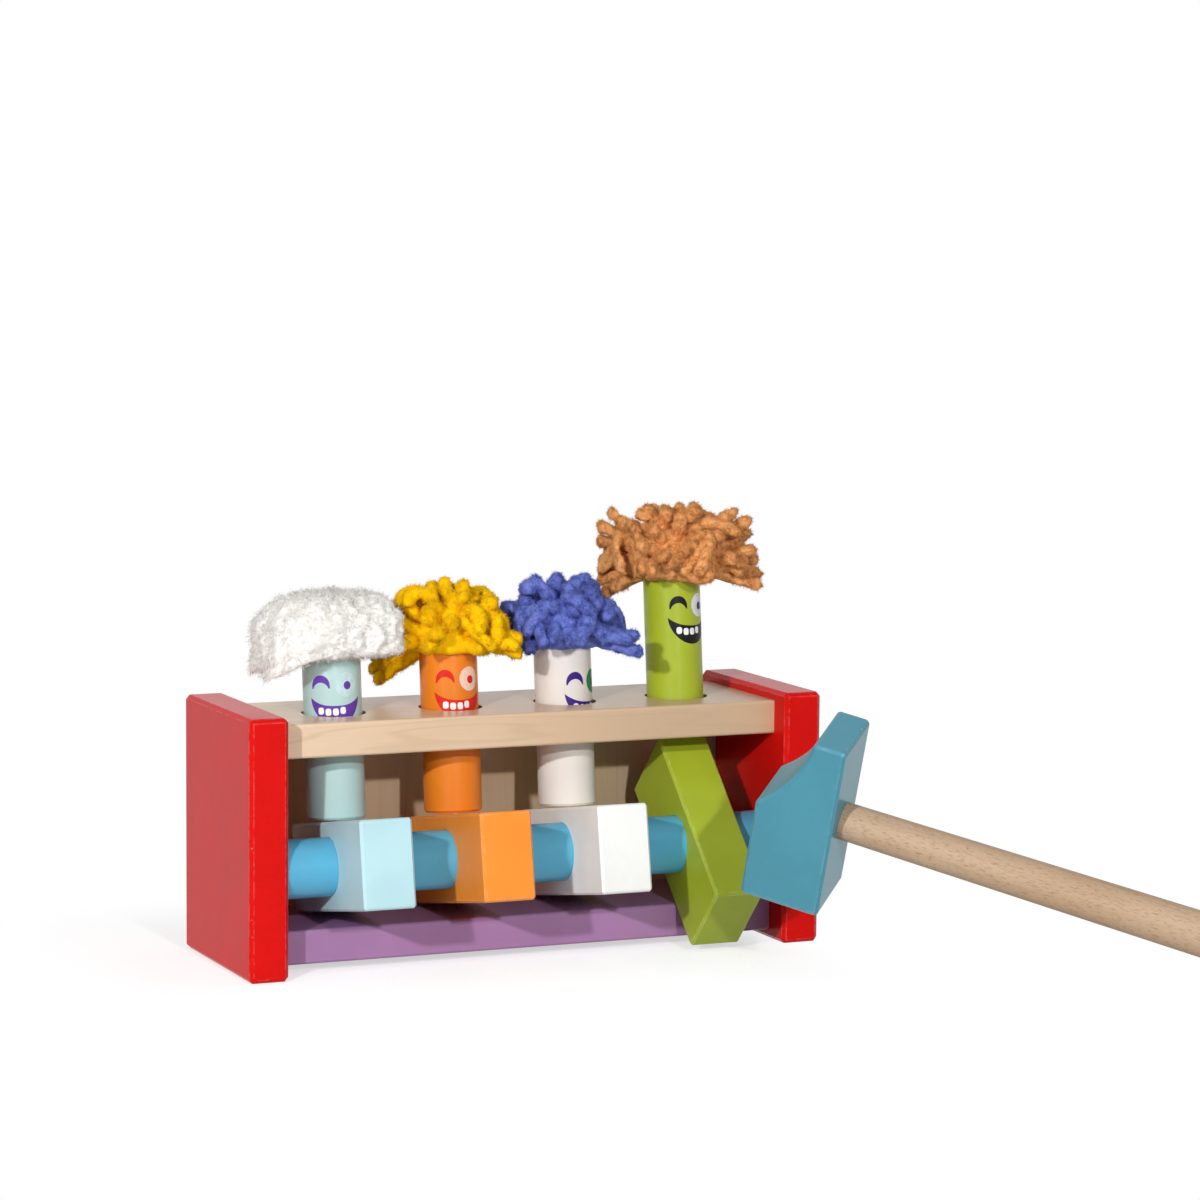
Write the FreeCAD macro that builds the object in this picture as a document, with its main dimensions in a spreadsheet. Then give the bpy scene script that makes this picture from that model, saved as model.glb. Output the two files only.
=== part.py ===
import FreeCAD, Part
import math
import os
import Sketcher

# Pop-up hammer bench: two end panels carry two boards and a rod, four levers rock on the rod,
# and each lever lifts a peg with a yarn hair tuft when its front end is struck by the hammer.
# X runs left to right, Y front to back, Z up. The origin is on the floor, under the middle of
# the left end panel. All sizes are in millimetres.

# Driving sizes
SIZES = (
    ("bench_length", 237.0, "over both end panels"),
    ("bench_depth", 79.0, "end panel, front to back"),
    ("bench_height", 100.0, "end panel"),
    ("panel_thickness", 15.5, "end panel"),
    ("panel_corner_radius", 2.2, "corners of an end panel, seen from the side"),
    ("panel_edge_chamfer", 1.5, "edges round both broad faces of an end panel"),
    ("board_thickness", 13.2, "top board and base board"),
    ("board_edge_radius", 1.2, "long edges of both boards"),
    ("board_rear_setback", 4.5, "rear edge of both boards in front of the panels' rear"),
    ("top_board_drop", 4.0, "top of the top board below the panels' top"),
    ("top_board_setback", 10.5, "front of the top board behind the panels' front"),
    ("base_board_rise", 3.5, "underside of the base board above the floor"),
    ("base_board_setback", 13.0, "front of the base board behind the panels' front"),
    ("back_board_thickness", 6.0, "back board"),
    ("back_board_lip", 4.0, "wood left behind the back board's groove"),
    ("groove_depth", 3.0, "grooves that hold the back board"),
    ("housing_depth", 5.0, "boards let into the end panels"),
    ("glue_gap", 0.05, "clearance round glued board ends, rod ends, handle and back board"),
    ("rod_diameter", 22.6, "pivot rod"),
    ("rod_seat_depth", 8.0, "rod end inside an end panel"),
    ("rod_setback", 13.5, "rod axis behind the panels' front"),
    ("rod_height", 40.5, "rod axis above the floor"),
    ("running_clearance", 0.1, "lever bore round the rod, on the radius"),
    ("lever_pitch", 48.2, "lever to lever and hole to hole"),
    ("lever_width", 20.8, "lever, left to right"),
    ("lever_height", 34.0, "lever, top to bottom"),
    ("lever_front", 37.6, "lever front end from the rod axis"),
    ("lever_rear", 40.5, "lever rear end from the rod axis"),
    ("lever_bore_height", 17.0, "rod axis above the lever's underside"),
    ("lever_corner_radius", 1.5, "long corners across a lever's ends"),
    ("lever_edge_chamfer", 0.9, "edges round both sides of a lever"),
    ("stop_gap", 0.3, "gap left where a lever stops on the base board"),
    ("peg_diameter", 22.6, "peg"),
    ("peg_length", 62.0, "peg"),
    ("peg_edge_chamfer", 0.9, "lower rim of a peg"),
    ("peg_lean_angle", 6.0, "degrees that the pegs lean back in their holes"),
    ("peg_hole_clearance", 1.2, "top board hole round a peg, on the radius"),
    ("peg_hole_setback", 26.5, "hole centres behind the top board's front edge"),
    ("peg_seat_gap", 0.3, "gap between a peg and its resting lever"),
    ("raised_peg_gap", 1.2, "gap between the raised peg and its pressed lever"),
    ("socket_diameter", 10.0, "hair socket in the top of a peg"),
    ("socket_depth", 14.0, "hair socket in the top of a peg"),
    ("hair_radius", 31.0, "hair tuft at its widest, where no neighbour limits it"),
    ("hair_gap", 0.8, "gap between neighbouring tufts"),
    ("hair_height", 28.0, "top of the tuft above the peg's top"),
    ("hair_top_radius", 9.0, "flat top of the tuft"),
    ("hair_crown_radius", 19.0, "tuft's crown"),
    ("hair_crown_height", 25.0, "tuft's crown above the peg's top"),
    ("hair_shoulder_radius", 27.5, "tuft's shoulder"),
    ("hair_shoulder_height", 18.5, "tuft's shoulder above the peg's top"),
    ("hair_widest_height", 9.5, "widest level of the tuft above the peg's top"),
    ("hair_skirt_radius", 25.0, "lower rim of the tuft"),
    ("hair_skirt_drop", 4.0, "lower rim of the tuft below the peg's top"),
    ("hair_clearance", 0.3, "hair and tie from the wood and each other"),
    ("tie_thickness", 0.8, "thread tie round the root of a tuft"),
    ("tie_height", 2.4, "thread tie"),
    ("tie_drop", 6.0, "lower edge of the tie below the peg's top"),
    ("head_length", 72.6, "hammer head, striking face to narrow end"),
    ("head_thickness", 29.8, "hammer head, broad face to broad face"),
    ("head_face_width", 31.0, "hammer head at the striking face"),
    ("head_tip_width", 12.8, "hammer head at the narrow end"),
    ("head_straight_length", 41.4, "straight part of the head's far side"),
    ("head_curve_depth", 3.4, "hollow of the curve that narrows the head"),
    ("head_corner_radius", 2.0, "hammer head's corners across its thickness"),
    ("head_edge_chamfer", 1.1, "edges round both broad faces of the hammer head"),
    ("handle_bore_depth", 22.0, "handle inside the head"),
    ("handle_height", 35.6, "handle axis above the striking face"),
    ("handle_neck_diameter", 14.4, "handle at the head"),
    ("handle_end_diameter", 18.0, "handle at its free end"),
    ("handle_length", 222.0, "handle outside the head"),
    ("handle_end_chamfer", 2.5, "rim of the handle's free end"),
    ("hammer_aside", 199.85, "where the handle leaves the head, right of the left panel's middle"),
    ("hammer_forward", 117.6, "where the handle leaves the head, in front of the bench's middle"),
    ("hammer_yaw_angle", 41.1, "degrees, handle swung towards the viewer"),
    ("hammer_pitch_angle", 14.17, "degrees, handle sloping down to the floor"),
    ("hammer_roll_angle", 20.15, "degrees, head rolled about the handle"),
)

# Colour names of the four levers and pegs, left to right, and of the hair on each
COLOURS = ("light_blue", "orange", "white", "green")
HAIR_COLOURS = ("white", "yellow", "blue", "brown")
PRESSED = "green"

doc = FreeCAD.newDocument("hammer_bench")
sheet = doc.addObject("Spreadsheet::Sheet", "Sizes")
for row, (alias, number, note) in enumerate(SIZES, start=1):
    sheet.set("A%d" % row, alias)
    sheet.set("B%d" % row, str(number))
    sheet.set("C%d" % row, note)
    sheet.setAlias("B%d" % row, alias)
doc.recompute()


def size(alias):
    """A driving size as a plain number."""
    return float(sheet.get(alias))


def value(expression):
    """An expression of driving sizes as a plain number."""
    return float(sheet.evalExpression(expression))


# Expressions shared by pieces that meet
INNER_LENGTH = "(Sizes.bench_length - 2 * Sizes.panel_thickness)"
MIDDLE = "((Sizes.bench_length - Sizes.panel_thickness) / 2)"
FRONT = "(-Sizes.bench_depth / 2)"
REAR = "(Sizes.bench_depth / 2)"
TOP_FRONT = "(%s + Sizes.top_board_setback)" % FRONT
TOP_UNDERSIDE = "(Sizes.bench_height - Sizes.top_board_drop - Sizes.board_thickness)"
TOP_WIDTH = "(%s - Sizes.board_rear_setback - %s)" % (REAR, TOP_FRONT)
BASE_FRONT = "(%s + Sizes.base_board_setback)" % FRONT
BASE_TOP = "(Sizes.base_board_rise + Sizes.board_thickness)"
BASE_WIDTH = "(%s - Sizes.board_rear_setback - %s)" % (REAR, BASE_FRONT)
BACK_REAR = "(%s - Sizes.board_rear_setback - Sizes.back_board_lip)" % REAR
BACK_FRONT = "(%s - Sizes.back_board_thickness)" % BACK_REAR
ROD_Y = "(%s + Sizes.rod_setback)" % FRONT
BOARD_LENGTH = "(%s + 2 * (Sizes.housing_depth - Sizes.glue_gap))" % INNER_LENGTH
TIE_OUTSIDE = "(Sizes.socket_diameter / 2 - Sizes.hair_clearance)"
TIE_INSIDE = "(%s - Sizes.tie_thickness)" % TIE_OUTSIDE
YARN_SIDES = 16
BOARD_ENDS = (
    (TOP_FRONT, TOP_WIDTH, TOP_UNDERSIDE),
    (BASE_FRONT, BASE_WIDTH, "Sizes.base_board_rise"),
)


# Small helpers for bodies, sketches and features
def new_body(label):
    body = doc.addObject("PartDesign::Body", label)
    body.Label = label
    return body


def origin_feature(body, role):
    return [item for item in body.Origin.OriginFeatures if item.Role == role][0]


def new_sketch(body, name, role, offset=None):
    sketch = body.newObject("Sketcher::SketchObject", name)
    sketch.AttachmentSupport = (origin_feature(body, role), [""])
    sketch.MapMode = "FlatFace"
    if offset:
        sketch.setExpression("AttachmentOffset.Base.z", offset)
    return sketch


def bind(sketch, kind, first, second, expression):
    """A dimension between two (geometry, point) places, driven by the expression."""
    gap = sketch.getPoint(*second) - sketch.getPoint(*first)
    present = gap.x if kind == "DistanceX" else gap.y
    index = sketch.addConstraint(Sketcher.Constraint(kind, *first, *second, present))
    sketch.setExpression("Constraints[%d]" % index, expression)


def add_rectangle(sketch, left, bottom, width, height):
    corners = [FreeCAD.Vector(*xy, 0) for xy in ((1, 1), (3, 1), (3, 2), (1, 2))]
    first = sketch.GeometryCount
    for start, end in zip(corners, corners[1:] + corners[:1]):
        sketch.addGeometry(Part.LineSegment(start, end))
    for side in range(4):
        following = first + (side + 1) % 4
        sketch.addConstraint(Sketcher.Constraint("Coincident", first + side, 2, following, 1))
        direction = "Vertical" if side % 2 else "Horizontal"
        sketch.addConstraint(Sketcher.Constraint(direction, first + side))
    bind(sketch, "DistanceX", (-1, 1), (first, 1), left)
    bind(sketch, "DistanceY", (-1, 1), (first, 1), bottom)
    bind(sketch, "DistanceX", (first, 1), (first, 2), width)
    bind(sketch, "DistanceY", (first + 1, 1), (first + 1, 2), height)


def add_circle(sketch, centre_x, centre_y, diameter):
    circle = sketch.addGeometry(Part.Circle(FreeCAD.Vector(1, 1, 0), FreeCAD.Vector(0, 0, 1), 1))
    bind(sketch, "DistanceX", (-1, 1), (circle, 3), centre_x)
    bind(sketch, "DistanceY", (-1, 1), (circle, 3), centre_y)
    index = sketch.addConstraint(Sketcher.Constraint("Diameter", circle, 2.0))
    sketch.setExpression("Constraints[%d]" % index, diameter)


def add_outline(sketch, points):
    """A closed outline of straight lines through points given as pairs of expressions."""
    places = [FreeCAD.Vector(value(across), value(up), 0) for across, up in points]
    for start, end in zip(places, places[1:] + places[:1]):
        sketch.addGeometry(Part.LineSegment(start, end))
    for line, (across, up) in enumerate(points):
        following = (line + 1) % len(points)
        sketch.addConstraint(Sketcher.Constraint("Coincident", line, 2, following, 1))
        bind(sketch, "DistanceX", (-1, 1), (line, 1), across)
        bind(sketch, "DistanceY", (-1, 1), (line, 1), up)


def revolve(body, sketch, axis):
    feature = body.newObject("PartDesign::Revolution", "Turned")
    feature.Profile = sketch
    feature.ReferenceAxis = (sketch, [axis])
    doc.recompute()
    return feature


def pad(body, sketch, length, symmetric=False):
    feature = body.newObject("PartDesign::Pad", "Pad")
    feature.Profile = sketch
    feature.SideType = "Symmetric" if symmetric else "One side"
    feature.setExpression("Length", length)
    doc.recompute()
    return feature


def pocket(body, sketch, depth=None, reverse=False):
    """Cut the sketch to a depth, or right through both ways where no depth is given."""
    feature = body.newObject("PartDesign::Pocket", "Pocket")
    feature.Profile = sketch
    feature.Reversed = reverse
    if depth:
        feature.setExpression("Length", depth)
    else:
        feature.SideType = "Symmetric"
        feature.Type = "ThroughAll"
    doc.recompute()
    return feature


def dress(body, base, kind, edges, radius):
    """A fillet or chamfer of the named edges of the feature before it."""
    feature = body.newObject("PartDesign::" + kind, kind)
    feature.Base = (base, edges)
    feature.setExpression("Radius" if kind == "Fillet" else "Size", radius)
    doc.recompute()
    return feature


def edges_along(feature, direction):
    """Straight edges of the feature that run along the direction."""
    names = []
    for index, edge in enumerate(feature.Shape.Edges, start=1):
        if edge.Curve.TypeId != "Part::GeomLine":
            continue
        if edge.Curve.Direction.cross(direction).Length < 1e-6:
            names.append("Edge%d" % index)
    return names


def side_outlines(feature, axis):
    """Edges that lie in the feature's two outermost faces along X or Y."""
    box = feature.Shape.BoundBox
    low, high = (box.XMin, box.XMax) if axis == "X" else (box.YMin, box.YMax)
    names = []
    for index, edge in enumerate(feature.Shape.Edges, start=1):
        reach = edge.BoundBox
        edge_low, edge_high = (reach.XMin, reach.XMax) if axis == "X" else (reach.YMin, reach.YMax)
        if edge_high < low + 1e-6 or edge_low > high - 1e-6:
            names.append("Edge%d" % index)
    return names


def round_edges(feature):
    """Circular edges of the feature, such as the rims of a turned piece."""
    curves = [(index, edge.Curve.TypeId) for index, edge in enumerate(feature.Shape.Edges, start=1)]
    return ["Edge%d" % index for index, kind in curves if kind == "Part::GeomCircle"]


# End panels, with a blind bore for the rod and a housing for each board in the inner face
def end_panel(label, side, place):
    body = new_body(label)
    outline = new_sketch(body, "Outline", "XY_Plane")
    add_rectangle(outline, "-Sizes.panel_thickness / 2", FRONT, "Sizes.panel_thickness", "Sizes.bench_depth")
    blank = pad(body, outline, "Sizes.bench_height")
    across = edges_along(blank, FreeCAD.Vector(1, 0, 0))
    rounded = dress(body, blank, "Fillet", across, "Sizes.panel_corner_radius")
    dress(body, rounded, "Chamfer", side_outlines(rounded, "X"), "Sizes.panel_edge_chamfer")
    inner_face = "%d * Sizes.panel_thickness / 2" % -side
    rod_seat = new_sketch(body, "RodSeat", "YZ_Plane", inner_face)
    add_circle(rod_seat, ROD_Y, "Sizes.rod_height", "Sizes.rod_diameter + 2 * Sizes.glue_gap")
    pocket(body, rod_seat, "Sizes.rod_seat_depth", reverse=side > 0)
    housings = new_sketch(body, "Housings", "YZ_Plane", inner_face)
    around = "2 * Sizes.glue_gap"
    thickness = "Sizes.board_thickness + " + around
    for front, width, bottom in BOARD_ENDS:
        left = "%s - Sizes.glue_gap" % front
        add_rectangle(housings, left, "%s - Sizes.glue_gap" % bottom, "%s + %s" % (width, around), thickness)
    pocket(body, housings, "Sizes.housing_depth", reverse=side > 0)
    body.setExpression("Placement.Base.x", place)
    return body


# Boards let into the panels: the front lower edge of a board is its own origin
def board(label, front, width, bottom, groove_bottom):
    body = new_body(label)
    section = new_sketch(body, "Section", "YZ_Plane")
    add_rectangle(section, "0", "0", width, "Sizes.board_thickness")
    blank = pad(body, section, BOARD_LENGTH, symmetric=True)
    dress(body, blank, "Fillet", edges_along(blank, FreeCAD.Vector(1, 0, 0)), "Sizes.board_edge_radius")
    groove = new_sketch(body, "Groove", "YZ_Plane")
    groove_width = "Sizes.back_board_thickness + 2 * Sizes.glue_gap"
    groove_front = "%s - Sizes.glue_gap - %s" % (BACK_FRONT, front)
    add_rectangle(groove, groove_front, groove_bottom, groove_width, "Sizes.groove_depth")
    pocket(body, groove)
    body.setExpression("Placement.Base.x", MIDDLE)
    body.setExpression("Placement.Base.y", front)
    body.setExpression("Placement.Base.z", bottom)
    return body


def drill_peg_holes(body):
    """A row of round holes, one over each lever's rear arm."""
    hole = new_sketch(body, "PegHole", "XY_Plane")
    bore = "Sizes.peg_diameter + 2 * Sizes.peg_hole_clearance"
    add_circle(hole, "-1.5 * Sizes.lever_pitch", "Sizes.peg_hole_setback", bore)
    first_hole = pocket(body, hole)
    row = body.newObject("PartDesign::LinearPattern", "PegHoleRow")
    row.Originals = [first_hole]
    row.Direction = (origin_feature(body, "X_Axis"), [""])
    row.setExpression("Length", "3 * Sizes.lever_pitch")
    row.Occurrences = len(COLOURS)
    body.Tip = row
    doc.recompute()


def back_board():
    body = new_body("back_board")
    face = new_sketch(body, "Face", "XZ_Plane")
    tongue = "Sizes.groove_depth - Sizes.glue_gap"
    height = "%s - %s + 2 * (%s)" % (TOP_UNDERSIDE, BASE_TOP, tongue)
    add_rectangle(face, "-%s / 2" % INNER_LENGTH, "0", INNER_LENGTH, height)
    pad(body, face, "Sizes.back_board_thickness", symmetric=True)
    body.setExpression("Placement.Base.x", MIDDLE)
    body.setExpression("Placement.Base.y", "%s + Sizes.back_board_thickness / 2" % BACK_FRONT)
    body.setExpression("Placement.Base.z", "%s - (%s)" % (BASE_TOP, tongue))
    return body


def pivot_rod():
    body = new_body("pivot_rod")
    section = new_sketch(body, "Section", "YZ_Plane")
    add_circle(section, "0", "0", "Sizes.rod_diameter")
    length = "%s + 2 * (Sizes.rod_seat_depth - Sizes.glue_gap)" % INNER_LENGTH
    pad(body, section, length, symmetric=True)
    body.setExpression("Placement.Base.x", MIDDLE)
    body.setExpression("Placement.Base.y", ROD_Y)
    body.setExpression("Placement.Base.z", "Sizes.rod_height")
    return body


# Levers: rounded bars with the rod's bore at their own origin
def lever(colour, place):
    body = new_body("lever_" + colour)
    side_view = new_sketch(body, "SideView", "YZ_Plane")
    length = "Sizes.lever_front + Sizes.lever_rear"
    add_rectangle(side_view, "-Sizes.lever_front", "-Sizes.lever_bore_height", length, "Sizes.lever_height")
    blank = pad(body, side_view, "Sizes.lever_width", symmetric=True)
    across = edges_along(blank, FreeCAD.Vector(1, 0, 0))
    rounded = dress(body, blank, "Fillet", across, "Sizes.lever_corner_radius")
    dress(body, rounded, "Chamfer", side_outlines(rounded, "X"), "Sizes.lever_edge_chamfer")
    bore = new_sketch(body, "Bore", "YZ_Plane")
    add_circle(bore, "0", "0", "Sizes.rod_diameter + 2 * Sizes.running_clearance")
    pocket(body, bore)
    body.Placement = place
    return body


# Pegs: turned, with a socket in the top that holds the root of the hair
def peg(colour, place):
    body = new_body("peg_" + colour)
    section = new_sketch(body, "Section", "XY_Plane")
    add_circle(section, "0", "0", "Sizes.peg_diameter")
    blank = pad(body, section, "Sizes.peg_length")
    lower_rim = [name for name in round_edges(blank) if blank.Shape.getElement(name).Curve.Center.z < 1e-6]
    dress(body, blank, "Chamfer", lower_rim, "Sizes.peg_edge_chamfer")
    socket = new_sketch(body, "Socket", "XY_Plane", "Sizes.peg_length")
    add_circle(socket, "0", "0", "Sizes.socket_diameter")
    pocket(body, socket, "Sizes.socket_depth")
    body.Placement = place
    return body


# Hair: a domed tuft that hangs a little over the peg's rim, on a root that goes into the socket.
# A side that faces a neighbouring tuft is pressed flat halfway between the two pegs.
def yarn_prism(name, radius, bottom, height):
    """A straight bundle of yarn with flat sides, upright on the peg's axis."""
    prism = doc.addObject("Part::Prism", name)
    prism.Polygon = YARN_SIDES
    prism.setExpression("Circumradius", radius)
    prism.setExpression("Height", height)
    prism.setExpression("Placement.Base.z", bottom)
    return prism


def hair(colour, place, has_left_neighbour, has_right_neighbour):
    levels = (
        ("Sizes.hair_skirt_radius", "-Sizes.hair_skirt_drop"),
        ("Sizes.hair_radius", "Sizes.hair_widest_height"),
        ("Sizes.hair_shoulder_radius", "Sizes.hair_shoulder_height"),
        ("Sizes.hair_crown_radius", "Sizes.hair_crown_height"),
        ("Sizes.hair_top_radius", "Sizes.hair_height"),
    )
    rings = []
    for radius, height in levels:
        ring = doc.addObject("Part::RegularPolygon", "HairRing")
        ring.Polygon = YARN_SIDES
        ring.setExpression("Circumradius", radius)
        ring.setExpression("Placement.Base.z", "Sizes.peg_length + " + height)
        rings.append(ring)
    dome = doc.addObject("Part::Loft", "HairDome")
    dome.Sections = rings
    dome.Solid = True
    dome.Ruled = True
    dome.Linearize = True
    half_corner = "cos(180 / %d)" % YARN_SIDES
    recess = "(Sizes.peg_diameter / 2 + Sizes.hair_clearance) / " + half_corner
    cuts = [yarn_prism("PegCrown", recess, "0", "Sizes.peg_length + Sizes.hair_clearance")]
    flattened = "(Sizes.lever_pitch - Sizes.hair_gap) / 2"
    for side, has_neighbour in ((-1, has_left_neighbour), (1, has_right_neighbour)):
        if has_neighbour:
            beyond = doc.addObject("Part::Box", "NeighboursRoom")
            beyond.setExpression("Length", "Sizes.hair_radius")
            beyond.setExpression("Width", "2 * Sizes.hair_radius")
            beyond.setExpression("Height", "2 * Sizes.peg_length")
            beyond.setExpression("Placement.Base.x", flattened if side > 0 else "-%s - Sizes.hair_radius" % flattened)
            beyond.setExpression("Placement.Base.y", "-Sizes.hair_radius")
            cuts.append(beyond)
    away = doc.addObject("Part::MultiFuse", "HairCuts")
    away.Shapes = cuts
    tuft = doc.addObject("Part::Cut", "Tuft")
    tuft.Base = dome
    tuft.Tool = away
    root_radius = "%s * %s - Sizes.hair_clearance" % (TIE_INSIDE, half_corner)
    root_bottom = "Sizes.peg_length - Sizes.socket_depth + Sizes.hair_clearance"
    root = yarn_prism("HairRoot", root_radius, root_bottom, "Sizes.socket_depth + Sizes.hair_widest_height")
    mop = doc.addObject("Part::MultiFuse", "hair_" + colour)
    mop.Label = "hair_" + colour
    mop.Shapes = [tuft, root]
    mop.Placement = place
    return mop


def hair_tie(colour, place):
    """A band of thread that binds the root of the hair inside the socket."""
    bottom = "Sizes.peg_length - Sizes.tie_drop"
    band = doc.addObject("Part::Cut", "hair_tie_" + colour)
    band.Label = "hair_tie_" + colour
    band.Base = yarn_prism("TieOutside", TIE_OUTSIDE, bottom, "Sizes.tie_height")
    band.Tool = yarn_prism("TieInside", TIE_INSIDE, bottom, "Sizes.tie_height")
    band.Placement = place
    return band


# Hammer: its own origin is where the handle's axis leaves the head, with the handle along +X
def hammer_head(place):
    body = new_body("hammer_head")
    profile = new_sketch(body, "Profile", "XZ_Plane")
    low = -size("handle_height")
    high = low + size("head_length")
    shoulder = low + size("head_straight_length")
    face_width = size("head_face_width")
    tip_width = size("head_tip_width")
    corner_points = ((0, low), (0, high), (-tip_width, high), (-face_width, shoulder), (-face_width, low))
    corners = [FreeCAD.Vector(*xz, 0) for xz in corner_points]
    chord = corners[2] - corners[3]
    sag = size("head_curve_depth")
    hollow_middle = (corners[2] + corners[3]) / 2 + FreeCAD.Vector(chord.y, -chord.x, 0).normalize() * sag
    for start, end in ((0, 1), (1, 2), (3, 4), (4, 0)):
        profile.addGeometry(Part.LineSegment(corners[start], corners[end]))
    back, tip, far_side, strike_face = range(4)
    hollow = profile.addGeometry(Part.Arc(corners[3], hollow_middle, corners[2]))
    for first, second in ((strike_face, back), (back, tip), (far_side, strike_face)):
        profile.addConstraint(Sketcher.Constraint("Coincident", first, 2, second, 1))
    low_first = profile.getPoint(hollow, 1).y < profile.getPoint(hollow, 2).y
    low_end, high_end = (1, 2) if low_first else (2, 1)
    profile.addConstraint(Sketcher.Constraint("Coincident", hollow, low_end, far_side, 1))
    profile.addConstraint(Sketcher.Constraint("Coincident", hollow, high_end, tip, 2))
    for line in (back, far_side):
        profile.addConstraint(Sketcher.Constraint("Vertical", line))
    for line in (tip, strike_face):
        profile.addConstraint(Sketcher.Constraint("Horizontal", line))
    bind(profile, "DistanceX", (-1, 1), (back, 1), "0")
    bind(profile, "DistanceY", (-1, 1), (back, 1), "-Sizes.handle_height")
    bind(profile, "DistanceY", (back, 1), (back, 2), "Sizes.head_length")
    bind(profile, "DistanceX", (tip, 2), (tip, 1), "Sizes.head_tip_width")
    bind(profile, "DistanceX", (strike_face, 1), (strike_face, 2), "Sizes.head_face_width")
    bind(profile, "DistanceY", (far_side, 2), (far_side, 1), "Sizes.head_straight_length")
    hollow_radius = (chord.Length ** 2 / 4 + sag ** 2) / (2 * sag)
    profile.addConstraint(Sketcher.Constraint("Radius", hollow, hollow_radius))
    blank = pad(body, profile, "Sizes.head_thickness", symmetric=True)
    across = edges_along(blank, FreeCAD.Vector(0, 1, 0))
    rounded = dress(body, blank, "Fillet", across, "Sizes.head_corner_radius")
    dress(body, rounded, "Chamfer", side_outlines(rounded, "Y"), "Sizes.head_edge_chamfer")
    bore = new_sketch(body, "HandleBore", "YZ_Plane")
    add_circle(bore, "0", "0", "Sizes.handle_neck_diameter + 2 * Sizes.glue_gap")
    pocket(body, bore, "Sizes.handle_bore_depth + Sizes.glue_gap")
    body.Placement = place
    return body


def hammer_handle(place):
    """A turned stick, straight inside the head and swelling towards its free end."""
    body = new_body("hammer_handle")
    half = new_sketch(body, "HalfSection", "XZ_Plane")
    neck = "Sizes.handle_neck_diameter / 2"
    outline = (
        ("-Sizes.handle_bore_depth", "0"),
        ("-Sizes.handle_bore_depth", neck),
        ("0", neck),
        ("Sizes.handle_length", "Sizes.handle_end_diameter / 2"),
        ("Sizes.handle_length", "0"),
    )
    add_outline(half, outline)
    stick = revolve(body, half, "H_Axis")
    free_end = size("handle_length") / 2
    rims = [name for name in round_edges(stick) if stick.Shape.getElement(name).Curve.Center.x > free_end]
    dress(body, stick, "Chamfer", rims, "Sizes.handle_end_chamfer")
    body.Placement = place
    return body


# Where the levers stop and where the pegs then stand, in the YZ plane
rod_y = -size("bench_depth") / 2 + size("rod_setback")
base_front = -size("bench_depth") / 2 + size("base_board_setback")
base_top = size("base_board_rise") + size("board_thickness")
lever_above = size("lever_height") - size("lever_bore_height")


def resting_tilt():
    """Degrees that a lever's front rises until its rear lower edge meets the base board."""
    radius = size("lever_corner_radius")
    back = size("lever_rear") - radius
    down = size("lever_bore_height") - radius
    drop = size("rod_height") - radius - base_top - size("stop_gap")
    return math.degrees(math.asin(drop / math.hypot(back, down)) - math.atan2(down, back))


def pressed_tilt():
    """Degrees that a lever's front falls until its underside meets the base board's front edge."""
    radius = size("board_edge_radius")
    forward = rod_y - (base_front + radius)
    down = size("rod_height") - (base_top - radius)
    reach = size("lever_bore_height") + radius + size("stop_gap")
    return math.degrees(math.acos(reach / math.hypot(forward, down)) - math.atan2(forward, down))


def peg_bottom(colour):
    """Centre of a peg's lower end, on the leaning axis through its hole."""
    lean = math.radians(size("peg_lean_angle"))
    axis = (math.sin(lean), math.cos(lean))
    hole_y = -size("bench_depth") / 2 + size("top_board_setback") + size("peg_hole_setback")
    hole_z = size("bench_height") - size("top_board_drop") - size("board_thickness") / 2
    if colour == PRESSED:
        tilt = math.radians(pressed_tilt())
        radius = size("lever_corner_radius")
        back = size("lever_rear") - radius
        up = lever_above - radius
        corner_y = rod_y + back * math.cos(tilt) - up * math.sin(tilt)
        corner_z = size("rod_height") + back * math.sin(tilt) + up * math.cos(tilt)
        drop = (hole_y - corner_y) * axis[0] + (hole_z - corner_z) * axis[1]
        drop -= radius + size("raised_peg_gap")
    else:
        tilt = math.radians(resting_tilt())
        normal = (math.sin(tilt), math.cos(tilt))
        height = (hole_y - rod_y) * normal[0] + (hole_z - size("rod_height")) * normal[1]
        edge = size("peg_diameter") / 2 * abs(math.sin(tilt - lean))
        drop = (height - lever_above - size("peg_seat_gap") - edge) / math.cos(tilt - lean)
    return hole_y - drop * axis[0], hole_z - drop * axis[1]


def across(index):
    """Middle of a lever and its peg, counted from the left, with the row centred in the bench."""
    return value(MIDDLE) + (index - (len(COLOURS) - 1) / 2) * size("lever_pitch")


def lever_place(index, colour):
    turn = pressed_tilt() if colour == PRESSED else -resting_tilt()
    centre = FreeCAD.Vector(across(index), rod_y, size("rod_height"))
    return FreeCAD.Placement(centre, FreeCAD.Rotation(FreeCAD.Vector(1, 0, 0), turn))


def peg_place(index, colour):
    centre = FreeCAD.Vector(across(index), *peg_bottom(colour))
    return FreeCAD.Placement(centre, FreeCAD.Rotation(FreeCAD.Vector(1, 0, 0), -size("peg_lean_angle")))


def hammer_place():
    """The handle's free end lies on the floor and the head is held up in front of the bench."""
    pitch = math.radians(size("hammer_pitch_angle"))
    chamfer = size("handle_end_chamfer")
    end = size("handle_end_diameter") / 2
    below_axis = max(end * math.cos(pitch) - chamfer * math.sin(pitch), (end - chamfer) * math.cos(pitch))
    height = below_axis + size("handle_length") * math.sin(pitch)
    start = FreeCAD.Vector(size("hammer_aside"), -size("hammer_forward"), height)
    turn = FreeCAD.Rotation(-size("hammer_yaw_angle"), size("hammer_pitch_angle"), size("hammer_roll_angle"))
    return FreeCAD.Placement(start, turn)


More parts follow.
